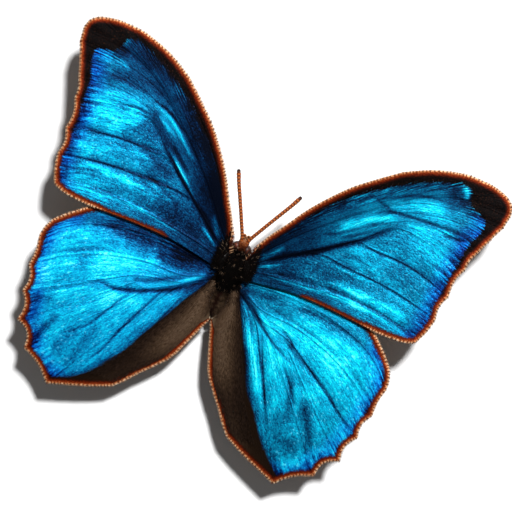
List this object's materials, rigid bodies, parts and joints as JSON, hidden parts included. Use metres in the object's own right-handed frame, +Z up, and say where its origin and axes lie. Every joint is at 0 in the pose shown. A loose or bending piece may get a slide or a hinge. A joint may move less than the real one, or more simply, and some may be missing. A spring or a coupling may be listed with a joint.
{
  "type": "blue morpho butterfly",
  "caption": "Life-size blue morpho butterfly standing with its wings spread flat, scalloped hindwings, clubbed antennae and a slim dark body.",
  "frame": {"origin": "centre of the bounding box in plan, at the level of the soles", "axes": "+X to the insect's right, +Y towards its head, +Z up"},
  "size_m": [0.1392, 0.1086, 0.0187],
  "materials": {
    "wing": "iridescent blue wing scales with a dark border, satin",
    "body": "short dark brown hair, matte",
    "eye": "smooth dark brown compound eye",
    "antenna": "orange-brown horn, satin",
    "leg": "dark brown scaled leg, matte",
    "palp": "rust-coloured scales, matte",
    "proboscis": "brown horn, satin"
  },
  "bodies": {
    "root": {"thorax": "body", "head": "body", "abdomen": "body", "proboscis": "proboscis", "eye_right": "eye", "antenna_right": "antenna", "palp_right": "palp", "foreleg_right": "leg", "midleg_right": "leg", "hindleg_right": "leg", "forewing_right": "wing", "hindwing_right": "wing", "eye_left": "eye", "antenna_left": "antenna", "palp_left": "palp", "foreleg_left": "leg", "midleg_left": "leg", "hindleg_left": "leg", "forewing_left": "wing", "hindwing_left": "wing"}
  },
  "joints": []
}
